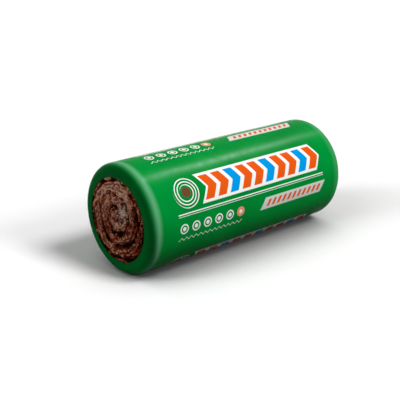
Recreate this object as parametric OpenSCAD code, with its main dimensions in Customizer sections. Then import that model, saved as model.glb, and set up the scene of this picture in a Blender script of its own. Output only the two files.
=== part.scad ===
// Roll of mineral wool insulation in a sleeve of printed shrink film, lying on its side.
// The roll's axis runs along X, and the origin is on the floor, under the middle of the roll.

/* [Roll] */
// Length of the roll over the film, about the width of the mat
roll_length = 1200; // [600:10:1250]
// Diameter of the roll over the film
roll_d = 500; // [360:5:600]
// Radius of the round shoulder between the side and an end
shoulder_r = 42; // [20:1:52]

/* [Film sleeve] */
// How far the shrunk film reaches in over each end, from the side to the lip of its round opening
end_reach = 58; // [54:1:120]
// Thickness of the film, drawn heavier than the real film
film_t = 1; // [0.6:0.1:2]
// Gap between the film and the wool that fills it
film_gap = 0.3; // [0.1:0.1:1]
// Width of the lengthwise lap where the film is sealed to itself
lap_w = 40; // [20:1:80]
// Height of the lap's edge above the film
lap_t = 0.6; // [0.3:0.1:1.5]
// Place of the lap round the roll, in degrees from straight down towards the back
lap_angle = 70; // [40:1:85]

/* [Wool roll] */
// Thickness of the rolled mat, from one turn to the next
turn_pitch = 60; // [40:1:80]
// Diameter of the eye in the middle, where the mat's inner end curls
eye_d = 26; // [16:1:40]
// Width of the seam between two turns, at the end of the roll
seam_w = 13; // [6:1:20]
// Width of the seam at its floor
seam_floor_w = 3; // [1:0.5:5]
// Depth of the seam
seam_depth = 15; // [4:1:40]

/* [Hidden] */
$fn = 96;

roll_r = roll_d / 2;
opening_r = roll_r - end_reach;

// The wool fills the film up to the gap
inset = film_t + film_gap;
wool_r = roll_r - inset;
wool_length = roll_length - 2 * inset;
wool_shoulder_r = shoulder_r - inset;

// The seam is a spiral of half turns about two centres that stand half a pitch apart.
// Each half turn is half a pitch wider than the one before, so their ends meet.
eye_r = eye_d / 2;
centre_shift = turn_pitch / 4;
half_turn_step = turn_pitch / 2;
first_half_turn_r = eye_r + centre_shift;
last_half_turn_r = wool_r - wool_shoulder_r - centre_shift - seam_w / 2;
half_turns = floor((last_half_turn_r - first_half_turn_r) / half_turn_step) + 1;

// How far a cutting shape stands past the face that it cuts
overcut = 5;

// Lays a shape that is turned about Z down along X, with its side on the floor
module lay_down() {
  translate([0, 0, roll_r]) rotate([0, 90, 0]) children();
}

// Half section of a turned bar with round shoulders, radius along X and length along Y
module bar_section(r, length, corner) {
  translate([0, -length / 2]) square([r - corner, length]);
  translate([0, corner - length / 2]) square([r, length - 2 * corner]);
  for (side = [-1, 1])
    translate([r - corner, side * (length / 2 - corner)]) circle(corner);
}

// Section of the seam, with its mouth on the X axis
module seam_section() {
  polygon([
    [-seam_floor_w / 2, -seam_depth],
    [seam_floor_w / 2, -seam_depth],
    [seam_w / 2, 0],
    [seam_w / 2, overcut],
    [-seam_w / 2, overcut],
    [-seam_w / 2, 0]
  ]);
}

// The spiral seam between the turns, as it is cut into the upper end
module spiral_seam() {
  for (i = [0 : half_turns - 1]) {
    side = i % 2 == 0 ? -1 : 1;
    translate([side * centre_shift, 0, wool_length / 2])
      rotate_extrude(angle = 180, start = side < 0 ? 180 : 0)
        translate([first_half_turn_r + i * half_turn_step, 0]) seam_section();
  }
}

// The rolled mat: one turned solid with its eye, and its turns on both ends
module wool_roll() {
  color("saddlebrown") lay_down() difference() {
    rotate_extrude() difference() {
      bar_section(wool_r, wool_length, wool_shoulder_r);
      translate([-overcut, -roll_length / 2]) square([overcut + eye_r, roll_length]);
    }
    spiral_seam();
    mirror([0, 0, 1]) spiral_seam();
  }
}

// The lengthwise lap of the film, on the straight part of the side
module film_lap() {
  lap_length = roll_length - 2 * shoulder_r;
  lap_turn = lap_w / roll_r * 180 / PI;
  rotate_extrude(angle = lap_turn, start = lap_angle - lap_turn / 2)
    translate([roll_r - film_t / 2, -lap_length / 2])
      square([film_t / 2 + lap_t, lap_length]);
}

// The film: a thin turned skin over the side, the shoulders and the rim of each end
module film_sleeve() {
  color("green") lay_down() {
    rotate_extrude() difference() {
      bar_section(roll_r, roll_length, shoulder_r);
      bar_section(roll_r - film_t, roll_length - 2 * film_t, shoulder_r - film_t);
      translate([-overcut, -roll_length]) square([overcut + opening_r, 2 * roll_length]);
    }
    film_lap();
  }
}

wool_roll();
film_sleeve();
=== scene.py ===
"""Looks of the insulation roll: brown mineral wool in a sleeve of printed green film, lying on its side."""

import math

import bpy
import numpy as np
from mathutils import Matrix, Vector


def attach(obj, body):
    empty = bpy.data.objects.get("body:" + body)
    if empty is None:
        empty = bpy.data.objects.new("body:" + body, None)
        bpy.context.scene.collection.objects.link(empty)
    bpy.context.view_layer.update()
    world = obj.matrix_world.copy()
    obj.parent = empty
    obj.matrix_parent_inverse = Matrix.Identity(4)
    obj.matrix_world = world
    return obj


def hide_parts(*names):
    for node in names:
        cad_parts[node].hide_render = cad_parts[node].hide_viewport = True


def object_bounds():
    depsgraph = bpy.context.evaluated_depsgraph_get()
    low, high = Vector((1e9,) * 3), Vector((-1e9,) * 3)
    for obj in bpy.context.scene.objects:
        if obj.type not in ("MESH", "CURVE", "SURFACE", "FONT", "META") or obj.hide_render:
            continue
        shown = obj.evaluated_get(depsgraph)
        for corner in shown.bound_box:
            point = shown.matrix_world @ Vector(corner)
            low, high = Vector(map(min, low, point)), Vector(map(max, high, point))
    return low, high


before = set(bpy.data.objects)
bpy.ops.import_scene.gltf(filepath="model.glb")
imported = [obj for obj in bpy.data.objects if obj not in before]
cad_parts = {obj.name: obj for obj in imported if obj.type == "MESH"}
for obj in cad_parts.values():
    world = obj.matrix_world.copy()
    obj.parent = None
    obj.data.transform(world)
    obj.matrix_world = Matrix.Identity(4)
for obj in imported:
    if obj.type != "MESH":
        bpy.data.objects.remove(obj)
cad_low, cad_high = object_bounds()

# Sizes of the roll that the frame gives, in metres
HALF_LENGTH = (cad_high.x - cad_low.x) / 2
ROLL_R = (cad_high.z - cad_low.z) / 2
AXIS_Z = cad_low.z + ROLL_R

# Film sleeve, in metres
FILM_T = 0.001
FILM_GAP = 0.0003
LAP_W = 0.040
LAP_H = 0.0006
LAP_EDGE = 0.0004
LAP_FADE = 0.025
GATHER_HEIGHT = 0.00063
PLEAT_HEIGHT = 0.00112
GATHER_REACH = (0.012, 0.085)
SLACK_LEVEL = 0.0007
SLACK_HEIGHT = 0.0005
FINE_SLACK_HEIGHT = 0.00025
SLACK_REACH = (0.05, 0.2)
LIP_WOBBLE = 0.0012
LIP_WOBBLE_REACH = 0.03
# Place of the lap from the top towards the front, and how near its lowest line the film lies flat
LAP_ANGLE = math.radians(250)
REST_ANGLES = (math.radians(6), math.radians(25))
# Waves of the film, as (number round the roll, length along it, seed), or a seed for each end
GATHERS = (110, 0.09, 11, 12)
PLEATS = (46, 0.14, 13, 14)
SLACK = (9, 0.22, 15)
FINE_SLACK = (21, 0.12, 16)
LIP_WAVES = (30, 1.0, 17)
# Rows and columns of the film's mesh
FILM_COLUMNS = 560
SIDE_ROWS = 70
SHOULDER_ROWS = 25
INNER_STRIDE = 6
RING_ROWS = 8
LIP_ROWS = 5

# Wool, in metres
TURN_PITCH = 0.060
EYE_R = 0.013
SPIRAL_RISE = 0.016
RING_STEP = 0.00165
CORNER_RINGS = 6
TUCK = 0.004
DOME = 0.007
LIP_GAP_W = 0.009
LIP_GAP_FLOOR = 0.001
LIP_GAP_DEPTH = 0.004
# Tone of the painted shade in the gap by the film's lip
LIP_GAP_PAINTED_SHADE = -0.12
SIDE_TONE = 0.4
# Seed of the left and the right end's relief, and the contrast and middle of its tones
END_LOOKS = ((200, 2.0, 0.412), (300, 1.35, 0.358))
# Height in metres and tone that each feature of an end adds where it shows fully; some tones are painted
# light and shade
WOOL_FEATURES = {
    # Crown tone: painted light on the crowns, painted shade beside the seams
    "crown": (0.006, 0.14),
    # Seam tone: painted shade in the seams between the turns
    "seam": (-0.017, -0.62),
    # Layer tone: painted shade in the creases between the layers
    "layers": (-0.0042, -0.27),
    "strands": (0.0024, 0.20),
    "pale_strands": (0.0012, 0.14),
    "clumps": (0.0030, 0.09),
    "tufts": (0.0016, 0.12),
    "specks": (0, 0.22),
    # Hole tone: painted shade in the pits and voids
    "hole_depth": (-1, -26),
    "patch_tone": (0, 1),
    # Painted light: paler towards the top of an end
    "upper": (0, 0.13),
    # Painted shade: darker towards the front of an end
    "front": (0, -0.11),
}
# How noise moves the turns, as (size of its lumps, reach)
SWAY = (0.085, 0.011)
RIPPLE = (0.028, 0.0048)
# Crown of a turn between its seams: the power of a sine that forms it, and its level on the flat
CROWN_POWER = 0.6
CROWN_LEVEL = 0.6
# Seam between two turns: how far it opens, more so low on the end, its half width, and its start in turns
SEAM_OPEN = 0.40
SEAM_OPEN_SWING = 0.85
SEAM_OPEN_SIZE = 0.06
SEAM_OPEN_LOW = 0.45
SEAM_OPEN_MOST = 1.2
SEAM_LOW = (0.02, -0.10)
SEAM_HALF_W = 0.00341
SEAM_HALF_W_GROWTH = 0.00465
SEAM_START = (-0.3, 0.1)
# Creases between the layers of a turn, with their width as a share of a layer
LAYERS_PER_TURN = 4
LAYER_WANDER = 0.5
CREASE_W = 0.2
CREASE_OPEN = 0.5
CREASE_OPEN_SWING = 1.2
CREASE_OPEN_MOST = 1.2
# Streaks along the turns, as (lumps to a turn, width of a lump)
LAYER_STREAKS = (24, 0.024)
CREASE_STREAKS = (14, 0.05)
STRAND_STREAKS = (28, 0.0085)
FINE_STRAND_STREAKS = (80, 0.0055)
FINE_STRAND_SHARE = 0.7
PALE_STREAKS = (18, 0.014)
PALE_STREAK_W = 0.17
# Lumps of the wool: their sizes, the shares of the finer ones, and the form of the tufts and pits
CLUMP_SIZE = 0.024
FINE_CLUMP_SIZE = 0.0115
FINE_CLUMP_SHARE = 0.75
TUFT_LEVEL = 0.6
TUFT_RIDGE = 2
TUFT_SIZE = 0.0092
FINE_TUFT_SIZE = 0.0046
FINE_TUFT_SHARE = 0.5
SPECK_SIZE = 0.0062
PIT_SIZE = 0.019
PIT_DEPTH = 0.010
PIT_NOISE = (0.35, 0.7)
# Heights over which painted light makes an end paler, and distances to the front over which painted shade
# makes it darker
TOP_LIGHT_HEIGHTS = (0.02, 0.13)
FRONT_SHADE_REACH = (0.05, 0.16)
# Voids between the turns and paler patches, as (y, height, half width, half height, depth or tone)
VOIDS = (
    (-0.005, 0.062, 0.011, 0.013, 0.022),
    (0.003, 0.003, 0.030, 0.008, 0.010),
    (0.013, -0.061, 0.050, 0.013, 0.014),
    (-0.060, 0.030, 0.010, 0.008, 0.014),
    (-0.162, 0.030, 0.020, 0.012, 0.008),
)
PALE_PATCHES = (
    (-0.006, -0.020, 0.040, 0.018, 0.18),
    (-0.055, 0.046, 0.046, 0.036, 0.16),
)
SPOT_CORE = 0.35

# Loose fibres on each end, in metres
FIBRES = 4200
FIBRE_R = 0.00026
FIBRE_LENGTH = (0.012, 0.040)
FIBRE_STAND = 0.0032
FIBRE_SINK = 0.0005
FIBRE_MARGIN = 0.004
FIBRE_RINGS = 5
FIBRE_SIDES = 3
# Share of an end that holds the fibres' middles, how their radius varies, and their tone on the wool's
FIBRE_AREA = 0.93
FIBRE_R_SHARES = (0.6, 1.25)
FIBRE_TONES = (-0.16, 0.26)
# How far a fibre's way strays from its turn and bends, in radians, and how its tips rise and thin
FIBRE_STRAY = 0.55
FIBRE_CURL = 0.9
FIBRE_RISE_POWER = 1.5
FIBRE_TAPER_START = 1.15
FIBRE_TIP = 0.25
FIBRE_SEEDS = (21, 22)

# Lattice of the noise, and the factor that brings its values to about -1 to 1
LATTICE = 256
NOISE_GAIN = 1.55

# Layout of the pictures that the materials are baked to, as shares of a picture or of a fibre's cell
BAKE_EDGE = 0.002
BAKED_OUTSIDE = 0.90
BAKED_LIP = 0.003
BAKED_END_R = 0.288
BAKED_SIDE = 0.40
BAKED_CELL = (0.2, 0.9)


def film_sizes():
    """Radius of the film's openings and of its shoulders, measured on the CAD film."""
    points = np.array([v.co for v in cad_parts["film_sleeve"].data.vertices])
    radius = np.hypot(points[:, 1], points[:, 2] - AXIS_Z)
    on_end = points[:, 0] < cad_low.x + FILM_T / 2
    return float(radius.min()), float(ROLL_R - radius[on_end].max())


OPENING_R, SHOULDER_R = film_sizes()
WOOL_INSET = FILM_T + FILM_GAP
WOOL_R = ROLL_R - WOOL_INSET
WOOL_HALF = HALF_LENGTH - WOOL_INSET


def noise(points, size, seed, wrap=LATTICE):
    """Smooth noise, about -1 to 1, with lumps of that size. Its first axis repeats every wrap lumps."""
    angle = np.random.default_rng(seed).uniform(0, 2 * np.pi, (wrap, LATTICE))
    place = np.asarray(points, float) / size
    cell = np.floor(place).astype(int)
    part = place - cell
    fade = part**3 * (part * (part * 6 - 15) + 10)
    total = np.zeros(len(place))
    for i in (0, 1):
        for j in (0, 1):
            a = angle[(cell[:, 0] + i) % wrap, (cell[:, 1] + j) % LATTICE]
            slope = np.cos(a) * (part[:, 0] - i) + np.sin(a) * (part[:, 1] - j)
            weight_x = fade[:, 0] if i else 1 - fade[:, 0]
            weight_y = fade[:, 1] if j else 1 - fade[:, 1]
            total += slope * weight_x * weight_y
    return total * NOISE_GAIN


def streaks(places, count, length, seed):
    """Noise at places (share of a turn, distance), with that many lumps to a turn, of that length."""
    return noise(places * (count, 1 / length), 1, seed, count)


def smooth_step(low, high, value):
    """0 up to low, 1 past high, and a smooth rise between them."""
    t = np.clip((value - low) / (high - low), 0, 1)
    return t * t * (3 - 2 * t)


def make_mesh(name, points, faces, smooth=True):
    """A new mesh object in the scene from arrays of points and faces."""
    mesh = bpy.data.meshes.new(name)
    mesh.from_pydata(points.tolist(), [], [list(f) for f in faces])
    mesh.update()
    mesh.polygons.foreach_set("use_smooth", np.full(len(mesh.polygons), smooth))
    piece = bpy.data.objects.new(name, mesh)
    bpy.context.scene.collection.objects.link(piece)
    return piece


def add_bake_map(piece, places):
    """Gives each corner of each face its place on the picture that the material is baked to."""
    layer = piece.data.uv_layers.new(name="OFBake")
    layer.data.foreach_set("uv", np.asarray(places, np.float32).ravel())


def add_value(piece, name, values):
    """Stores one number for each point of a piece, for its material to read."""
    attribute = piece.data.attributes.new(name, "FLOAT", "POINT")
    attribute.data.foreach_set("value", np.asarray(values, np.float32))


def grid_corners(rows, columns):
    """Row and column of the four corners of each cell of a grid."""
    i, j = np.meshgrid(np.arange(rows), np.arange(columns), indexing="ij")
    row = np.stack([i, i, i + 1, i + 1], -1).reshape(-1, 4)
    column = np.stack([j, j + 1, j + 1, j], -1).reshape(-1, 4)
    return row, column


# Film sleeve
def mirrored(half):
    """A half section and its mirror image past the middle of the roll, with the middle row once."""
    return np.concatenate([half, half[-2::-1] * (-1, 1, -1, 1, 1)])


def film_profile():
    """The film's outer section from the left lip to the right one, and its inner section back.
    A row is (x, radius, outward x, outward radius, distance from the lip)."""
    corner_x, corner_r = HALF_LENGTH - SHOULDER_R, ROLL_R - SHOULDER_R
    ring_width = corner_r - OPENING_R
    ring = np.linspace(OPENING_R, corner_r, RING_ROWS)[:-1]
    rows = [(-HALF_LENGTH, r, -1, 0, r - OPENING_R) for r in ring]
    for a in np.linspace(0, np.pi / 2, SHOULDER_ROWS):
        out_x, out_r = -math.cos(a), math.sin(a)
        place = (-corner_x + SHOULDER_R * out_x, corner_r + SHOULDER_R * out_r)
        rows.append((*place, out_x, out_r, ring_width + SHOULDER_R * a))
    reach = ring_width + SHOULDER_R * np.pi / 2
    side = np.linspace(-corner_x, 0, SIDE_ROWS // 2)[1:]
    rows += [(x, ROLL_R, 0, 1, reach + corner_x + x) for x in side]
    half = np.array(rows, float)
    few = [0, *range(len(ring), len(ring) + SHOULDER_ROWS, INNER_STRIDE), len(half) - 1]
    inner = mirrored(half[few])[::-1].copy()
    inner[:, 0:2] -= FILM_T * inner[:, 2:4]
    return mirrored(half), inner


def lip_rows(outer, inner):
    """The half round of the film's edge, from its outer face to its inner one."""
    turn = np.linspace(0, np.pi, LIP_ROWS + 2)[1:-1]
    rows = np.repeat(((outer + inner) / 2)[None], LIP_ROWS, 0)
    rows[:, 0] += outer[2] * FILM_T / 2 * np.cos(turn)
    rows[:, 1] -= FILM_T / 2 * np.sin(turn)
    return rows


def film_columns():
    """Angles of the film's columns from the top towards the front, with close pairs at the lap's edges."""
    even = np.linspace(0, 2 * np.pi, FILM_COLUMNS, endpoint=False)
    half = LAP_W / ROLL_R / 2
    edge = LAP_EDGE / ROLL_R
    pairs = [LAP_ANGLE + s * half + t * edge for s in (-1, 1) for t in (-1, 1)]
    return np.sort(np.concatenate([even, pairs]))


def lap_share(x, angle):
    """How much each point lies on the lap, which fades out before the shoulders."""
    off_lap = np.abs((angle - LAP_ANGLE + np.pi) % (2 * np.pi) - np.pi) * ROLL_R
    on_lap = 1 - smooth_step(LAP_W / 2 - LAP_EDGE, LAP_W / 2 + LAP_EDGE, off_lap)
    straight = HALF_LENGTH - SHOULDER_R
    return on_lap * (1 - smooth_step(straight - LAP_FADE, straight, np.abs(x)))


def film_lift(rows, columns):
    """How far each point of the film stands out: gathers at the openings, slack on the side, the lap."""
    from_lip, angle = np.meshgrid(rows[:, 4], columns, indexing="ij")
    x = np.repeat(rows[:, 0:1], len(columns), 1)
    places = np.stack([angle.ravel() / (2 * np.pi), from_lip.ravel()], 1)

    def waves(count, length, seed):
        return streaks(places, count, length, seed).reshape(x.shape)

    def end_waves(count, length, left_seed, right_seed):
        return np.where(x < 0, waves(count, length, left_seed), waves(count, length, right_seed))

    gathers = GATHER_HEIGHT * np.abs(end_waves(*GATHERS))
    pleats = PLEAT_HEIGHT * np.clip(end_waves(*PLEATS), 0, 1)
    slack = SLACK_LEVEL + SLACK_HEIGHT * waves(*SLACK) + FINE_SLACK_HEIGHT * waves(*FINE_SLACK)
    lift = (gathers + pleats) * (1 - smooth_step(*GATHER_REACH, from_lip))
    lift += slack * smooth_step(*SLACK_REACH, from_lip)
    lift += LAP_H * lap_share(x, angle)
    return np.maximum(lift * smooth_step(*REST_ANGLES, np.abs(angle - np.pi)), 0)


def torus_faces(rows, columns):
    """Quads of a grid that closes both ways."""
    row, column = grid_corners(rows, columns)
    return row % rows * columns + column % columns


def film_bake_places(rows, columns, outer_rows):
    """Places of the film's corners on its picture, with the turn round the roll across it.
    The outer face takes most of its height, and the lips and the inner face the rest."""
    steps = np.full(len(rows), BAKED_LIP)
    outer = rows[:outer_rows, 0:2]
    reach = np.hypot(*np.diff(outer, axis=0).T)
    steps[: outer_rows - 1] = BAKED_OUTSIDE * reach / reach.sum()
    inner = slice(outer_rows + LIP_ROWS, len(rows) - LIP_ROWS - 1)
    steps[inner] = 0
    steps[inner] = (1 - steps.sum()) / len(steps[inner])
    down = np.concatenate([[0], np.cumsum(steps)])
    across = np.concatenate([columns, columns[:1] + 2 * np.pi]) / (2 * np.pi)
    row, column = grid_corners(len(rows), len(columns))
    return BAKE_EDGE + (1 - 2 * BAKE_EDGE) * np.stack([across[column], down[row]], -1)


def make_film():
    """The film sleeve as one closed thin skin, with round lips at its two openings."""
    outer, inner = film_profile()
    right_lip = lip_rows(outer[-1], inner[0])
    left_lip = lip_rows(outer[0], inner[-1])[::-1]
    rows = np.concatenate([outer, right_lip, inner, left_lip])
    angle = film_columns()
    lift = film_lift(rows, angle)
    lift[len(outer) + LIP_ROWS + 1 : len(rows) - LIP_ROWS - 1] = 0
    wobble = LIP_WOBBLE * streaks(np.stack([angle / (2 * np.pi), 0 * angle], 1), *LIP_WAVES)
    at_lip = 1 - smooth_step(0, LIP_WOBBLE_REACH, rows[:, 4:5])
    x = rows[:, 0:1] + lift * rows[:, 2:3]
    radius = rows[:, 1:2] + lift * rows[:, 3:4] + at_lip * wobble
    points = np.stack([x, -radius * np.sin(angle), AXIS_Z + radius * np.cos(angle)], -1)
    piece = make_mesh("film_sleeve_skin", points.reshape(-1, 3), torus_faces(len(rows), len(angle)))
    add_bake_map(piece, film_bake_places(rows, angle, len(outer)))
    return piece


# Wool
def end_disc(rings):
    """Points of a disc of radius 1, six more on each ring, and the triangles between them."""
    points, faces = [np.zeros((1, 2))], []
    first = [0] + [1 + 3 * k * (k - 1) for k in range(1, rings + 1)]
    for k in range(1, rings + 1):
        turn = 2 * np.pi * np.arange(6 * k) / (6 * k)
        points.append(np.stack([np.cos(turn), np.sin(turn)], 1) * k / rings)
        sector, j = np.divmod(np.arange(6 * k), k)
        inside = first[k - 1] + (sector * (k - 1) + j) % max(6 * (k - 1), 1)
        here, after = first[k] + np.arange(6 * k), first[k] + (np.arange(6 * k) + 1) % (6 * k)
        faces.append(np.stack([inside, here, after], 1))
        if k > 1:
            two = j < k - 1
            inside_next = first[k - 1] + (sector * (k - 1) + j + 1) % (6 * (k - 1))
            faces.append(np.stack([inside, after, inside_next], 1)[two])
    return np.concatenate(points), np.concatenate(faces)


def spiral(points):
    """Turns out from the eye, angle and distance from the eye, of points (y, height) on an end."""
    y, height = points[:, 0], points[:, 1] - SPIRAL_RISE
    shift = np.where(y < 0, TURN_PITCH / 4, -TURN_PITCH / 4)
    out = np.hypot(y, height - shift)
    first = EYE_R + TURN_PITCH / 4 + np.where(y < 0, 0, TURN_PITCH / 2)
    return (out - first) / TURN_PITCH, np.arctan2(height, y), out


def near_spots(points, spots):
    """The last number of the spot that each point lies in, in full at its core and 0 past its edge."""
    total = np.zeros(len(points))
    for y, height, half_width, half_height, amount in spots:
        away = np.hypot((points[:, 0] - y) / half_width, (points[:, 1] - height) / half_height)
        total = np.maximum(total, amount * (1 - smooth_step(SPOT_CORE, 1, away)))
    return total


def shaken(points, size, reach, seed):
    """How far smooth noise moves each point, both ways."""
    return np.stack([noise(points, size, seed + k) for k in (0, 1)], 1) * reach


def seam_share(points, turns, seed):
    """How much each point lies in the seam between two turns, which opens and closes along its way."""
    part = turns - np.floor(turns)
    to_seam = TURN_PITCH * np.minimum(part, 1 - part)
    openness = SEAM_OPEN + SEAM_OPEN_SWING * noise(points, SEAM_OPEN_SIZE, seed)
    openness += SEAM_OPEN_LOW * smooth_step(*SEAM_LOW, points[:, 1])
    openness = np.clip(openness, 0, SEAM_OPEN_MOST)
    half_width = SEAM_HALF_W + SEAM_HALF_W_GROWTH * openness
    return openness * np.exp(-((to_seam / half_width) ** 2)) * smooth_step(*SEAM_START, turns)


def layer_share(turns, places, seed):
    """How much each point lies in a crease between the layers of a turn."""
    layer = turns * LAYERS_PER_TURN + LAYER_WANDER * streaks(places, *LAYER_STREAKS, seed)
    off_crease = np.abs(layer - np.round(layer)) / CREASE_W
    openness = CREASE_OPEN + CREASE_OPEN_SWING * streaks(places, *CREASE_STREAKS, seed + 1)
    return np.exp(-(off_crease**2)) * np.clip(openness, 0, CREASE_OPEN_MOST)


def strand_share(places, seed):
    """Strands along the turns, coarse and fine."""
    coarse = streaks(places, *STRAND_STREAKS, seed)
    return coarse + FINE_STRAND_SHARE * streaks(places, *FINE_STRAND_STREAKS, seed + 1)


def clump_share(points, seed):
    """Round clumps, coarse and fine."""
    return noise(points, CLUMP_SIZE, seed) + FINE_CLUMP_SHARE * noise(points, FINE_CLUMP_SIZE, seed + 1)


def tuft_share(points, seed):
    """Tufts with sharp ridges, and finer ones on them."""
    ridges = TUFT_LEVEL - TUFT_RIDGE * np.abs(noise(points, TUFT_SIZE, seed))
    return ridges + FINE_TUFT_SHARE * noise(points, FINE_TUFT_SIZE, seed + 1)


def wool_features(points, seed):
    """How far each feature shows at points (y, height) on an end. Each noise has a seed of its own."""
    moved = points + shaken(points, *RIPPLE, seed + 3)
    turns, angle, out = spiral(moved + shaken(points, *SWAY, seed + 1))
    places = np.stack([angle / (2 * np.pi), out], 1)
    off_pale = streaks(places, *PALE_STREAKS, seed + 16) / PALE_STREAK_W
    pits = PIT_DEPTH * smooth_step(*PIT_NOISE, noise(points, PIT_SIZE, seed + 14))
    return {
        "crown": np.sin(np.pi * (turns - np.floor(turns))) ** CROWN_POWER - CROWN_LEVEL,
        "seam": seam_share(points, turns, seed + 5),
        "layers": layer_share(turns, places, seed + 6),
        "strands": strand_share(places, seed + 8),
        "pale_strands": np.exp(-(off_pale**2)),
        "clumps": clump_share(points, seed + 10),
        "tufts": tuft_share(points, seed + 12),
        "specks": noise(points, SPECK_SIZE, seed + 15),
        "hole_depth": np.maximum(pits, near_spots(moved, VOIDS)),
        "patch_tone": near_spots(moved, PALE_PATCHES),
        # Painted light towards the top and painted shade towards the front
        "upper": smooth_step(*TOP_LIGHT_HEIGHTS, points[:, 1]),
        "front": smooth_step(*FRONT_SHADE_REACH, -points[:, 0]),
    }


def wool_relief(points, look):
    """Height of the wool above an end's flat, and its tone from 0 for dark to 1 for pale, which holds
    painted light and shade.
    """
    seed, contrast, middle = look
    relief, tone = np.zeros((2, len(points)))
    for name, share in wool_features(points, seed).items():
        feature_height, feature_tone = WOOL_FEATURES[name]
        relief += feature_height * share
        tone += feature_tone * share
    radius = np.hypot(*points.T)
    gap = smooth_step(OPENING_R - LIP_GAP_W, OPENING_R - LIP_GAP_FLOOR, radius)
    dome = DOME * (1 - (radius / OPENING_R) ** 2)
    height = dome + relief * (1 - gap) - LIP_GAP_DEPTH * gap
    # The gap by the lip takes painted shade in its tone
    return height, middle + contrast * (tone + LIP_GAP_PAINTED_SHADE * gap)


def wool_ends(disc):
    """Points and tones of the left and the right end, over the points of a disc of radius 1."""
    place = disc * (OPENING_R + TUCK)
    points, tones = [], []
    for sign, look in zip((-1, 1), END_LOOKS):
        rise, tone = wool_relief(place, look)
        points.append(np.column_stack([sign * (WOOL_HALF + rise), place[:, 0], AXIS_Z + place[:, 1]]))
        tones.append(tone)
    return points, tones


def wool_side(around):
    """Rings of points along the wool's hidden side, from the left end to the right."""
    corner = SHOULDER_R - WOOL_INSET
    arc = np.linspace(0, np.pi / 2, CORNER_RINGS)
    x = corner - WOOL_HALF - corner * np.cos(arc)
    radius = WOOL_R - corner + corner * np.sin(arc)
    x = np.concatenate([x, -x[::-1]])[:, None]
    radius = np.concatenate([radius, radius[::-1]])[:, None]
    turn = 2 * np.pi * np.arange(around) / around
    return np.stack([x + 0 * turn, radius * np.cos(turn), AXIS_Z + radius * np.sin(turn)], -1)


def wool_bake_places(disc, disc_faces, row, column):
    """Places of the wool's corners on its picture: its ends as large discs, its side in a corner."""
    low, high = BAKED_END_R + BAKE_EDGE, 1 - BAKED_END_R - BAKE_EDGE
    left = (disc * BAKED_END_R + (low, high))[disc_faces[:, ::-1]]
    right = (disc * BAKED_END_R + (high, low))[disc_faces]
    side = BAKED_SIDE * np.stack([column / column.max(), row / row.max()], -1)
    return np.concatenate([part.reshape(-1, 2) for part in (left, right, side)])


def make_wool():
    """The rolled mat as one closed mesh: two dense ends with their turns, and a plain side between."""
    rings = round((OPENING_R + TUCK) / RING_STEP)
    disc, disc_faces = end_disc(rings)
    ends, tones = wool_ends(disc)
    count, around = len(disc), 6 * rings
    side = wool_side(around).reshape(-1, 3)
    rim = np.arange(count - around, count)
    rims = np.concatenate([rim, 2 * count + np.arange(len(side)), rim + count]).reshape(-1, around)
    row, column = grid_corners(len(rims) - 1, around)
    parts = (disc_faces[:, ::-1], disc_faces + count, rims[row, column % around])
    faces = [face for part in parts for face in part.tolist()]
    piece = make_mesh("wool_mat", np.concatenate([*ends, side]), faces)
    add_bake_map(piece, wool_bake_places(disc, disc_faces, row, column))
    add_value(piece, "tone", np.concatenate([*tones, np.full(len(side), SIDE_TONE)]))
    return piece


# Loose fibres
def fibre_paths(rng):
    """Points (y, height) along fibres that lie mostly along the turns, and their headings."""
    radius = OPENING_R * np.sqrt(rng.uniform(0, FIBRE_AREA, FIBRES))
    turn = rng.uniform(0, 2 * np.pi, FIBRES)
    middle = np.stack([radius * np.cos(turn), radius * np.sin(turn)], 1)
    length = rng.uniform(*FIBRE_LENGTH, (FIBRES, 1))
    way = turn + np.pi / 2 + rng.normal(0, FIBRE_STRAY, FIBRES) + np.pi * rng.integers(0, 2, FIBRES)
    bend = rng.normal(0, FIBRE_CURL, (FIBRES, 1))
    heading = way[:, None] + bend * np.linspace(-0.5, 0.5, FIBRE_RINGS)
    step = length / (FIBRE_RINGS - 1)
    path = np.cumsum(np.stack([np.cos(heading) * step, np.sin(heading) * step], -1), 1)
    path += middle[:, None] - path.mean(1, keepdims=True)
    inside = np.linalg.norm(path, axis=-1).max(1) < OPENING_R - FIBRE_MARGIN
    return path[inside], heading[inside]


def fibre_points(path, heading, rise, thickness):
    """Points (height above the end's flat, y, height) of the thin tubes along the paths."""
    end = np.abs(np.linspace(-1, 1, FIBRE_RINGS))
    ring_r = (thickness * np.clip(FIBRE_TAPER_START - end**3, FIBRE_TIP, 1))[..., None]
    turn = 2 * np.pi * np.arange(FIBRE_SIDES) / FIBRE_SIDES
    across = np.stack([-np.sin(heading), np.cos(heading)], -1)[:, :, None]
    flat = path[:, :, None] + across * (ring_r * np.cos(turn))[..., None]
    up = rise[..., None] + ring_r * np.sin(turn)
    return np.concatenate([up[..., None], flat], -1)


def fibre_faces(count):
    """Quads and caps of the fibres' tubes, and their corners' places on the picture, a cell to a fibre."""
    row, column = grid_corners(FIBRE_RINGS - 1, FIBRE_SIDES)
    tube = row * FIBRE_SIDES + column % FIBRE_SIDES
    ring = np.arange(FIBRE_SIDES)
    caps = np.array([ring[::-1], ring + (FIBRE_RINGS - 1) * FIBRE_SIDES])
    low, high = BAKED_CELL
    tube_places = low + (high - low) * np.stack([row / row.max(), column / column.max()], -1)
    cap_places = np.repeat([[(0, 0), (low / 2, 0), (0, low / 2)]], 2, 0)
    fibre = np.arange(count)[:, None, None]
    cells = math.ceil(math.sqrt(count))
    corner = np.stack([fibre % cells, fibre // cells], -1)
    faces, places = [], []
    for part, part_places in ((tube, tube_places), (caps, cap_places)):
        faces.append((part + fibre * FIBRE_RINGS * FIBRE_SIDES).reshape(-1, part.shape[1]))
        places.append(((part_places + corner) / cells).reshape(-1, part.shape[1], 2))
    return faces, places


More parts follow.
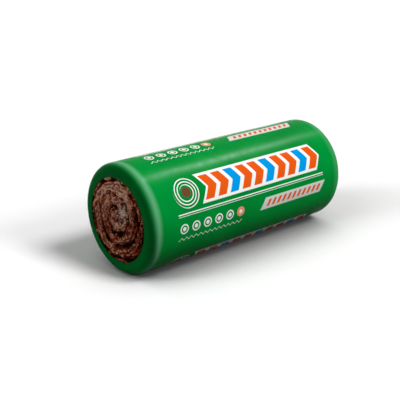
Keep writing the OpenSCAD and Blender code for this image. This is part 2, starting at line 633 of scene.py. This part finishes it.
def make_fibres(name, sign, seed, look):
    """Loose fibres on one end of the wool, with their tips standing out a little."""
    rng = np.random.default_rng(seed)
    path, heading = fibre_paths(rng)
    count = len(path)
    stand = np.abs(rng.normal(0, FIBRE_STAND, (count, 1)))
    thickness = FIBRE_R * rng.uniform(*FIBRE_R_SHARES, (count, 1))
    ground, tone = (v.reshape(count, -1) for v in wool_relief(path.reshape(-1, 2), look))
    tip = np.abs(np.linspace(-1, 1, FIBRE_RINGS)) ** FIBRE_RISE_POWER
    rise = np.maximum(ground.mean(1, keepdims=True), ground - FIBRE_SINK) + thickness / 2 + stand * tip
    points = fibre_points(path, heading, WOOL_HALF + rise, thickness) * (sign, 1, 1) + (0, 0, AXIS_Z)
    faces, places = fibre_faces(count)
    if sign < 0:
        faces = [part[:, ::-1] for part in faces]
        places = [part[:, ::-1] for part in places]
    piece = make_mesh(name, points.reshape(-1, 3), [face for part in faces for face in part.tolist()])
    add_bake_map(piece, np.concatenate([part.reshape(-1, 2) for part in places]))
    tone = tone.mean(1) + rng.uniform(*FIBRE_TONES, count)
    add_value(piece, "tone", np.repeat(tone, FIBRE_RINGS * FIBRE_SIDES))
    return piece


# Materials
def linear(red, green, blue):
    """A colour of 0 to 255 as it shows on a screen, as Blender's linear colour."""
    shown = np.array([red, green, blue]) / 255
    return (*np.where(shown <= 0.04045, shown / 12.92, ((shown + 0.055) / 1.055) ** 2.4), 1)


# Where most values of a noise texture lie
NOISE_RANGE = (0.3, 0.7)

# Colours of the wool from dark to pale, by tone
WOOL_RUST = (
    (0.04, linear(26, 4, 2)),
    (0.24, linear(104, 26, 10)),
    (0.44, linear(170, 69, 38)),
    (0.66, linear(217, 128, 89)),
    (0.92, linear(255, 213, 183)),
)
WOOL_GREY = (
    (0.04, linear(26, 10, 7)),
    (0.25, linear(111, 62, 45)),
    (0.45, linear(170, 118, 94)),
    (0.66, linear(214, 177, 155)),
    (0.92, linear(254, 234, 217)),
)
# Where the wool is greyer: round a place (y, height) of an end, less so low on it, and in patches
GREY_MIDDLE = (-0.045, 0.042)
GREY_REACH = (0.02, 0.10)
GREY_MOST = 0.9
RUST_HEIGHTS = (-0.06, 0.16)
RUST_LOW = -0.25
GREY_PATCH_FINENESS = 18.0
GREY_PATCH_NOISE = (0.35, 0.65)
GREY_PATCHES = (-0.3, 0.3)
# Noise of the wool, as (fineness, detail, roughness), and how much of it goes into its tone and bumps
WOOL_GRAINS = (120.0, 3.0, 0.7)
WOOL_FINE = (320.0, 3.0, 0.7)
WOOL_STRANDS = (5.5, 5.0, 0.7)
STRAND_FINENESS = 36.0
GRAIN_TONE = 0.4
FINE_TONE = 0.6
STRAND_TONE = 0.9
FINE_BUMP = 0.5
STRAND_BUMP = 1.4
WOOL_BUMP = 0.003
WOOL_ROUGHNESS = (0.82, 1.0)
WOOL_GLOSS = 0.05
FIBRE_FINENESS = 90.0
FIBRE_NOISE_TONE = 0.4
FIBRE_ROUGHNESS = (0.6, 0.8)
FIBRE_GLOSS = 0.08

# Colours of the film and its print
FILM_GREEN = linear(0, 146, 57)
FILM_DEEP = linear(0, 128, 48)
# Colour of the painted highlight over the shoulders
FILM_HIGHLIGHT = linear(190, 240, 222)
# Deeper green of the lap's double film, and of the painted shade on the end faces and along the lap's edges
FILM_DARK_AND_SHADE = linear(0, 72, 28)
FILM_SHEEN = (0.40, 1.0, 0.82, 1)
PRINT_WHITE = linear(240, 241, 238)
PRINT_PALE = linear(214, 217, 211)
PRINT_ORANGE = linear(228, 88, 18)
PRINT_SALMON = linear(232, 148, 112)
PRINT_BLUE = linear(0, 150, 222)
PRINT_BROWN = linear(112, 68, 48)
# Painted highlight as paler bands over the left and the right shoulder, and painted shade that deepens the
# green of the end faces
SHOULDER_HIGHLIGHT_SHARES = (0.19, 0.07)
SHOULDER_HIGHLIGHT_INSET = 0.036
SHOULDER_HIGHLIGHT_HALF_WIDTH = 0.028
END_PAINTED_SHADE = 0.46
END_SHADE_FADE = 0.024
# The deeper green of the lap's double film, its edge lines of painted shade and the crimps of its seal
LAP_SHADE = 0.3
LAP_LINE = 0.0016
LAP_LINE_PAINTED_SHADE = 0.75
SEAL_W = 0.012
CRIMP_PITCH = 0.003
CRIMP_BUMP = 0.5
# Noise and gloss of the film
CLOUD_FINENESS = 3.5
RIPPLE_FINENESS = 26.0
GRAIN_FINENESS = 420.0
FILM_BUMP = 0.0004
FILM_BUMP_STRENGTH = 0.3
FILM_ROUGHNESS = (0.21, 0.28)
GRAIN_ROUGHNESS = 0.04
FILM_GLOSS = 0.006
# The print repeats round the roll from a place past its top, in metres
PRINT_REPEATS = 4
PRINT_START = 0.155
INK_EDGE = 0.0004
# One chevron in three is blue
BLUE_EVERY = 3
# Proportions of the motifs, as shares of their pitch, width or radius
CHEVRON_SLANT = 0.62
CHEVRON_GAP = 0.16
CHEVRON_MARGIN = 0.17
COIL_LINE = 0.17
COIL_DISC = 0.72
BAR_SLANT = 0.6
STRIPE_GAP = 0.25
STRIPE_MARGIN = 0.22
STRIPE_INSET = 0.3
RING_LINE = 0.13
RING_DOT = 0.42


class Nodes:
    """Short calls that build the nodes of one material or world."""

    def __init__(self, owner):
        owner.use_nodes = True
        self.owner = owner
        self.tree = owner.node_tree

    def add(self, kind, inputs=(), **settings):
        node = self.tree.nodes.new(kind)
        for key, value in settings.items():
            setattr(node, key, value)
        for key, value in dict(inputs).items():
            self.put(node.inputs[key], value)
        return node

    def put(self, socket, value):
        if isinstance(value, bpy.types.NodeSocket):
            self.tree.links.new(value, socket)
        else:
            socket.default_value = value

    def math(self, operation, *values):
        return self.add("ShaderNodeMath", enumerate(values), operation=operation).outputs[0]

    def plus(self, first, second):
        return self.math("ADD", first, second)

    def minus(self, first, second):
        return self.math("SUBTRACT", first, second)

    def times(self, first, second):
        return self.math("MULTIPLY", first, second)

    def size(self, value):
        return self.math("ABSOLUTE", value)

    def least(self, first, *others):
        for other in others:
            first = self.math("MINIMUM", first, other)
        return first

    def length(self, first, second):
        return self.math("SQRT", self.plus(self.times(first, first), self.times(second, second)))

    def remap(self, value, low, high, out_low=0.0, out_high=1.0, smooth=False):
        values = {"Value": value, "From Min": low, "From Max": high, "To Min": out_low, "To Max": out_high}
        kind = "SMOOTHSTEP" if smooth else "LINEAR"
        return self.add("ShaderNodeMapRange", values, interpolation_type=kind).outputs[0]

    def mix(self, share, first, second):
        node = self.add("ShaderNodeMix", data_type="RGBA")
        for index, value in ((0, share), (6, first), (7, second)):
            self.put(node.inputs[index], value)
        return node.outputs[2]

    def noise(self, vector, fineness, detail=2.0, roughness=0.5):
        values = {"Vector": vector, "Scale": fineness, "Detail": detail, "Roughness": roughness}
        return self.add("ShaderNodeTexNoise", values).outputs[0]

    def ramp(self, value, stops):
        node = self.add("ShaderNodeValToRGB", {"Fac": value})
        line = node.color_ramp.elements
        while len(line) < len(stops):
            line.new(0.5)
        for element, (place, colour) in zip(line, stops):
            element.position, element.color = place, colour
        return node.outputs[0]

    def bump(self, height, distance, strength=1.0):
        values = {"Height": height, "Distance": distance, "Strength": strength}
        return self.add("ShaderNodeBump", values).outputs[0]

    def attribute(self, name):
        return self.add("ShaderNodeAttribute", attribute_name=name).outputs["Fac"]

    def object_place(self):
        return self.add("ShaderNodeTexCoord").outputs["Object"]

    def parts(self, vector):
        return self.add("ShaderNodeSeparateXYZ", {0: vector}).outputs[0:3]

    def finish(self, shader, **sockets):
        for name, value in sockets.items():
            self.put(self.tree.nodes[shader].inputs[name.replace("_", " ")], value)
        return self.owner


def new_material(name):
    """The nodes of a new material."""
    return Nodes(bpy.data.materials.new(name))


def wool_colour(n, place, level):
    """Rust to tan by the level of tone, and greyer near the middle and the top of an end."""
    _, y, z = n.parts(place)
    height = n.minus(z, AXIS_Z)
    grey_y, grey_height = GREY_MIDDLE
    from_middle = n.length(n.minus(y, grey_y), n.minus(height, grey_height))
    middle = n.remap(from_middle, *GREY_REACH, GREY_MOST, 0.0, smooth=True)
    lower = n.remap(height, *RUST_HEIGHTS, RUST_LOW, 0.0, smooth=True)
    patches = n.remap(n.noise(place, GREY_PATCH_FINENESS), *GREY_PATCH_NOISE, *GREY_PATCHES)
    greyness = n.plus(n.plus(middle, lower), patches)
    share = n.least(n.math("MAXIMUM", greyness, 0.0), 1.0)
    return n.mix(share, n.ramp(level, WOOL_RUST), n.ramp(level, WOOL_GREY))


def along_turns(n, place):
    """Coordinates in which noise runs along the turns of an end, as the fibres do."""
    _, y, z = n.parts(place)
    height = n.minus(z, AXIS_Z + SPIRAL_RISE)
    angle = n.math("ARCTAN2", height, y)
    out = n.times(n.length(y, height), STRAND_FINENESS)
    parts = (n.math("COSINE", angle), n.math("SINE", angle), out)
    return n.add("ShaderNodeCombineXYZ", enumerate(parts)).outputs[0]


def wool_material():
    """Brown mineral wool: rust and tan fibres along the turns, dark in the seams, greyer in the middle."""
    n = new_material("brown_mineral_wool")
    place = n.object_place()
    grains = n.noise(place, *WOOL_GRAINS)
    fine = n.noise(place, *WOOL_FINE)
    strands = n.noise(along_turns(n, place), *WOOL_STRANDS)
    level = n.attribute("tone")
    for part, share in ((grains, GRAIN_TONE), (fine, FINE_TONE), (strands, STRAND_TONE)):
        level = n.plus(level, n.times(n.minus(part, 0.5), share))
    bumps = n.plus(n.times(fine, FINE_BUMP), n.times(strands, STRAND_BUMP))
    return n.finish(
        "Principled BSDF",
        Base_Color=wool_colour(n, place, level),
        Roughness=n.remap(fine, *NOISE_RANGE, *WOOL_ROUGHNESS),
        Normal=n.bump(bumps, WOOL_BUMP),
        Specular_IOR_Level=WOOL_GLOSS,
    )


def fibre_material():
    """Single fibres in the colours of the wool that they lie on."""
    n = new_material("wool_fibres")
    place = n.object_place()
    along = n.noise(place, FIBRE_FINENESS)
    level = n.plus(n.attribute("tone"), n.times(n.minus(along, 0.5), FIBRE_NOISE_TONE))
    return n.finish(
        "Principled BSDF",
        Base_Color=wool_colour(n, place, level),
        Roughness=n.remap(along, *NOISE_RANGE, *FIBRE_ROUGHNESS),
        Specular_IOR_Level=FIBRE_GLOSS,
    )


class Print:
    """The film's printed design, over places along the roll and round it, in metres.
    A shape is the depth of each place inside its edge."""

    def __init__(self, n, along, round_it, ground):
        self.n, self.along, self.round_it, self.colour = n, along, round_it, ground

    def ink(self, colour, *depths):
        """Prints a colour where all these shapes meet."""
        mask = self.n.remap(self.n.least(*depths), -INK_EDGE, INK_EDGE)
        self.colour = self.n.mix(mask, self.colour, colour)

    def slab(self, value, low, high):
        """The band where a value lies between two others."""
        return self.n.least(self.n.minus(value, low), self.n.minus(high, value))

    def from_point(self, x, height):
        """Distances along the roll and round it from a point."""
        return self.n.minus(self.along, x), self.n.minus(self.round_it, height)

    def chevrons(self, x, height, width, pitch, count):
        """A white band of chevrons, every third one blue and the others orange, pointed at one end."""
        n = self.n
        along, off = self.from_point(x, height)
        off = n.size(off)
        slant = n.plus(along, n.times(off, CHEVRON_SLANT))
        band = self.slab(slant, 0.0, pitch * count)
        self.ink(PRINT_WHITE, band, n.minus(width / 2, off))
        place = n.math("DIVIDE", slant, pitch)
        inside = n.times(n.math("FRACT", place), pitch)
        bars = self.slab(inside, pitch * CHEVRON_GAP, pitch * (1 - CHEVRON_GAP))
        number = n.math("FLOORED_MODULO", n.math("FLOOR", place), BLUE_EVERY)
        is_blue = n.math("COMPARE", number, BLUE_EVERY - 1, 0.5)
        colour = n.mix(is_blue, PRINT_ORANGE, PRINT_BLUE)
        self.ink(colour, bars, n.minus(width / 2 - pitch * CHEVRON_MARGIN, off), band)

    def coil(self, x, height, radius, pitch, core):
        """A white spiral round a brown disc."""
        n = self.n
        along, off = self.from_point(x, height)
        out = n.length(along, off)
        turn = n.math("DIVIDE", n.math("ARCTAN2", off, along), 2 * math.pi)
        place = n.math("FRACT", n.minus(n.math("DIVIDE", out, pitch), turn))
        off_line = n.times(n.size(n.minus(place, 0.5)), pitch)
        self.ink(PRINT_WHITE, n.minus(pitch * COIL_LINE, off_line), self.slab(out, core, radius))
        self.ink(PRINT_BROWN, n.minus(core * COIL_DISC, out))

    def wave(self, low, high, height, swing, length, width):
        """A fine white wavy line."""
        n = self.n
        curve = n.times(n.math("SINE", n.times(self.along, 2 * math.pi / length)), swing)
        off = n.size(n.minus(n.minus(self.round_it, height), curve))
        self.ink(PRINT_WHITE, n.minus(width / 2, off), self.slab(self.along, low, high))

    def striped_bar(self, low, high, height, width, pitch):
        """A pale bar with a row of slanting orange stripes."""
        n = self.n
        off = n.minus(self.round_it, height)
        slant = n.plus(self.along, n.times(off, BAR_SLANT))
        edge = n.minus(width / 2, n.size(off))
        self.ink(PRINT_PALE, edge, self.slab(slant, low, high))
        inside = n.times(n.math("FRACT", n.math("DIVIDE", slant, pitch)), pitch)
        stripes = self.slab(inside, pitch * STRIPE_GAP, pitch * (1 - STRIPE_GAP))
        inset = width * STRIPE_INSET
        row = self.slab(slant, low + inset, high - inset)
        self.ink(PRINT_ORANGE, stripes, n.minus(edge, width * STRIPE_MARGIN), row)

    def ring_row(self, x, height, pitch, count, radius):
        """A row of white rings with dots in them, the last one a salmon disc with a white dot."""
        n = self.n
        along, off = self.from_point(x, height)
        inside = n.minus(n.math("FLOORED_MODULO", along, pitch), pitch / 2)
        out = n.length(inside, off)
        line = radius * RING_LINE
        ring = n.minus(line, n.size(n.minus(out, radius - line)))
        dot = n.minus(radius * RING_DOT, out)
        self.ink(PRINT_WHITE, n.math("MAXIMUM", ring, dot), self.slab(along, 0.0, pitch * count))
        last = self.slab(along, pitch * (count - 1), pitch * count)
        self.ink(PRINT_SALMON, n.minus(radius, out), last)
        self.ink(PRINT_WHITE, dot, last)

    def fine_line(self, low, high, height, width):
        """A thin white line along the roll."""
        off = self.n.size(self.n.minus(self.round_it, height))
        self.ink(PRINT_WHITE, self.n.minus(width / 2, off), self.slab(self.along, low, high))


def print_design(n, along, round_it, ground):
    """The colour of the film with its design, which repeats round the roll."""
    repeat = 2 * math.pi * ROLL_R / PRINT_REPEATS
    inside = n.math("FLOORED_MODULO", n.minus(round_it, PRINT_START), repeat)
    sheet = Print(n, along, inside, ground)
    sheet.coil(x=-0.385, height=0.095, radius=0.070, pitch=0.0145, core=0.032)
    sheet.chevrons(x=-0.272, height=0.095, width=0.136, pitch=0.0735, count=10)
    sheet.wave(low=-0.455, high=-0.085, height=0.297, swing=0.0055, length=0.027, width=0.0034)
    sheet.ring_row(x=-0.460, height=0.249, pitch=0.066, count=6, radius=0.023)
    sheet.striped_bar(low=0.045, high=0.455, height=0.249, width=0.056, pitch=0.034)
    sheet.fine_line(low=-0.455, high=0.46, height=0.184, width=0.0050)
    sheet.fine_line(low=-0.455, high=0.46, height=0.1935, width=0.0022)
    return sheet.colour


def film_ground(n, place, x):
    """Clouded green, with a painted highlight as paler bands over the shoulders and painted shade that
    deepens the end faces.
    """
    clouds = n.remap(n.noise(place, CLOUD_FINENESS), *NOISE_RANGE)
    green = n.mix(clouds, FILM_DEEP, FILM_GREEN)
    from_middle = n.size(x)
    off_shoulder = n.size(n.minus(from_middle, HALF_LENGTH - SHOULDER_HIGHLIGHT_INSET))
    on_shoulder = n.remap(off_shoulder, 0.0, SHOULDER_HIGHLIGHT_HALF_WIDTH, 1.0, 0.0, smooth=True)
    # Painted highlight: a paler band over each shoulder
    pale = n.remap(x, -SHOULDER_HIGHLIGHT_INSET, SHOULDER_HIGHLIGHT_INSET, *SHOULDER_HIGHLIGHT_SHARES)
    green = n.mix(n.times(pale, on_shoulder), green, FILM_HIGHLIGHT)
    # Painted shade: the end faces turn a deeper green
    on_end = n.remap(from_middle, HALF_LENGTH - END_SHADE_FADE, HALF_LENGTH, 0.0, END_PAINTED_SHADE, smooth=True)
    return n.mix(on_end, green, FILM_DARK_AND_SHADE)


def film_lap(n, round_it, colour):
    """The film's colour with the lap's deeper double film and its edge lines of painted shade, and the
    crimps of its seal.
    """
    off_lap = n.size(n.minus(round_it, (LAP_ANGLE - 2 * math.pi) * ROLL_R))
    shade = n.remap(off_lap, LAP_W / 2 - LAP_EDGE, LAP_W / 2 + LAP_EDGE, LAP_SHADE, 0.0)
    colour = n.mix(shade, colour, FILM_DARK_AND_SHADE)
    # Painted shade along the lap's edges
    off_edge = n.size(n.minus(off_lap, LAP_W / 2))
    colour = n.mix(n.remap(off_edge, 0.0, LAP_LINE, LAP_LINE_PAINTED_SHADE, 0.0), colour, FILM_DARK_AND_SHADE)
    crimps = n.math("SINE", n.times(round_it, 2 * math.pi / CRIMP_PITCH))
    on_seal = n.remap(off_lap, SEAL_W / 2, SEAL_W / 2 + LAP_EDGE, CRIMP_BUMP, 0.0)
    return colour, n.times(crimps, on_seal)


def film_material():
    """Satin green shrink film with its print, and the crimped seal of its lap."""
    n = new_material("printed_green_film")
    place = n.object_place()
    x, y, z = n.parts(place)
    angle = n.math("ARCTAN2", n.times(y, -1.0), n.minus(z, AXIS_Z))
    round_it = n.times(angle, ROLL_R)
    printed = print_design(n, x, round_it, film_ground(n, place, x))
    colour, crimps = film_lap(n, round_it, printed)
    ripple = n.noise(place, RIPPLE_FINENESS)
    grain = n.noise(place, GRAIN_FINENESS)
    rough = n.remap(ripple, *NOISE_RANGE, *FILM_ROUGHNESS)
    return n.finish(
        "Principled BSDF",
        Base_Color=colour,
        Roughness=n.plus(rough, n.times(grain, GRAIN_ROUGHNESS)),
        Normal=n.bump(n.plus(ripple, crimps), FILM_BUMP, FILM_BUMP_STRENGTH),
        Specular_IOR_Level=FILM_GLOSS,
        Specular_Tint=FILM_SHEEN,
    )


def dress(piece, material):
    """Gives a piece its material, and lets it ride on the roll."""
    piece.data.materials.append(material)
    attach(piece, "root")


# Stage
# Camera, where a fit to the roll's outline puts it, with angles in degrees and sizes in metres
CAMERA_AZIMUTH = -41.20
CAMERA_ELEVATION = 19.67
CAMERA_DISTANCE = 3.897
CAMERA_TARGET = Vector((-0.122, 0, 0.2311))
CAMERA_FOCUS_PIXELS = 830.8
IMAGE_PIXELS = 400
SENSOR_WIDTH = 36.0

# Floor and surroundings: sizes in metres, the floor's white to look at, and the light that falls back
FLOOR_SIZE = 60.0
FLOOR_GAP = 0.0004
FLOOR_WHITE = 0.88
FLOOR_BOUNCE = 0.1
AMBIENT = 0.03
# Shade on the floor close to the roll: its reach, the shares of open sky at which it is full and gone,
# and the light that is left where it is full
FLOOR_SHADE_REACH = 0.6
FLOOR_SHADE_SKY = (0.10, 0.92)
FLOOR_SHADE_LEAST = 0.20

# Lamps that light the roll, as (name, azimuth, elevation, strength, softness)
ROLL_LAMPS = (
    ("roll_key", 50, 40, 4.0, 20),
    ("roll_end", 255, 22, 0.66, 30),
    ("roll_fill", 0, 90, 0.26, 170),
    ("roll_back", 180, 15, 0.9, 30),
)
GLOSS_LAMP = ("gloss", 93, 51, 7.4, 8)
# Lamps that light the floor, as (name, azimuth, elevation, share of the floor's light, softness)
FLOOR_LAMPS = (
    ("floor_front_low", 15, 30, 0.20, 15),
    ("floor_front_high", 20, 50, 0.50, 20),
    ("floor_end_low", 255, 30, 0.15, 20),
    ("floor_end_high", 270, 45, 0.15, 25),
)


def direction(azimuth, elevation):
    """The way from the roll to a camera or lamp, with azimuth 0 in front and 90 past the right end."""
    turn, rise = math.radians(azimuth), math.radians(elevation)
    flat = math.cos(rise)
    return Vector((math.sin(turn) * flat, -math.cos(turn) * flat, math.sin(rise)))


def make_camera():
    """The camera that sees the roll as the photo does."""
    data = bpy.data.cameras.new("camera")
    data.sensor_width = SENSOR_WIDTH
    data.lens = CAMERA_FOCUS_PIXELS * SENSOR_WIDTH / IMAGE_PIXELS
    camera = bpy.data.objects.new("camera", data)
    bpy.context.scene.collection.objects.link(camera)
    back = direction(CAMERA_AZIMUTH, CAMERA_ELEVATION)
    camera.location = CAMERA_TARGET + back * CAMERA_DISTANCE
    camera.rotation_euler = (-back).to_track_quat("-Z", "Y").to_euler()
    bpy.context.scene.camera = camera


def make_lamp(name, azimuth, elevation, strength, softness, gloss=False):
    """A soft lamp far away, with its strength in watts a square metre and its softness in degrees.
    It shows only as a highlight, or only as the light that falls on things."""
    data = bpy.data.lights.new(name, "SUN")
    data.energy = strength
    data.angle = math.radians(softness)
    lamp = bpy.data.objects.new(name, data)
    bpy.context.scene.collection.objects.link(lamp)
    lamp.rotation_euler = direction(azimuth, elevation).to_track_quat("Z", "Y").to_euler()
    lamp.visible_glossy = gloss
    lamp.visible_diffuse = not gloss
    return lamp


def light_only(lamp, floor, on_floor):
    """Lets a lamp light only the floor, or everything but the floor."""
    group = bpy.data.collections.new(lamp.name + "_receivers")
    group.objects.link(floor)
    group.collection_objects[0].light_linking.link_state = "INCLUDE" if on_floor else "EXCLUDE"
    lamp.light_linking.receiver_collection = group


def seen_directly(n):
    """1 on rays from the camera, reflections and see-through surfaces, 0 on light that falls on things."""
    path = n.add("ShaderNodeLightPath")
    seen = path.outputs["Is Camera Ray"]
    for name in ("Is Glossy Ray", "Is Transmission Ray"):
        seen = n.math("MAXIMUM", seen, path.outputs[name])
    return seen


def make_world():
    """White surroundings to look at, and a little soft light from all sides."""
    world = bpy.data.worlds.new("studio")
    bpy.context.scene.world = world
    n = Nodes(world)
    strength = n.remap(seen_directly(n), 0.0, 1.0, AMBIENT, 1.0)
    n.finish("Background", Color=(1, 1, 1, 1), Strength=strength)


def make_floor():
    """A plain white floor that keeps the roll's shadow, with painted shade in its colour close to the roll,
    and throws little light back.
    """
    half = FLOOR_SIZE / 2
    corners = np.array([(-half, -half, 0), (half, -half, 0), (half, half, 0), (-half, half, 0)])
    points = corners + (0, 0, cad_low.z - FLOOR_GAP)
    floor = make_mesh("floor", points, np.array([[0, 1, 2, 3]]), smooth=False)
    n = new_material("white_floor")
    # Painted shade: the floor's colour darkens where the roll hides the sky
    open_sky = n.add("ShaderNodeAmbientOcclusion", {"Distance": FLOOR_SHADE_REACH}).outputs["AO"]
    shade = n.remap(open_sky, *FLOOR_SHADE_SKY, FLOOR_SHADE_LEAST, 1.0, smooth=True)
    white = n.mix(shade, (0, 0, 0, 1), (*[FLOOR_WHITE] * 3, 1))
    colour = n.mix(seen_directly(n), (*[FLOOR_BOUNCE] * 3, 1), white)
    material = n.finish("Principled BSDF", Base_Color=colour, Roughness=1.0, Specular_IOR_Level=0.0)
    floor.data.materials.append(material)
    return floor


def make_stage():
    """Camera, surroundings, floor and lamps."""
    bpy.context.scene.view_settings.view_transform = "Standard"
    make_camera()
    make_world()
    floor = make_floor()
    for lamp in ROLL_LAMPS:
        light_only(make_lamp(*lamp), floor, on_floor=False)
    for name, azimuth, elevation, share, softness in FLOOR_LAMPS:
        strength = math.pi * share / (FLOOR_WHITE * math.sin(math.radians(elevation)))
        light_only(make_lamp(name, azimuth, elevation, strength, softness), floor, on_floor=True)
    make_lamp(*GLOSS_LAMP, gloss=True)


film = make_film()
dress(film, film_material())
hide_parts("film_sleeve")
wool = make_wool()
dress(wool, wool_material())
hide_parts("wool_roll")
fibre_look = fibre_material()
for fibre_name, sign, seed, look in zip(("fibres_left", "fibres_right"), (-1, 1), FIBRE_SEEDS, END_LOOKS):
    dress(make_fibres(fibre_name, sign, seed, look), fibre_look)
make_stage()
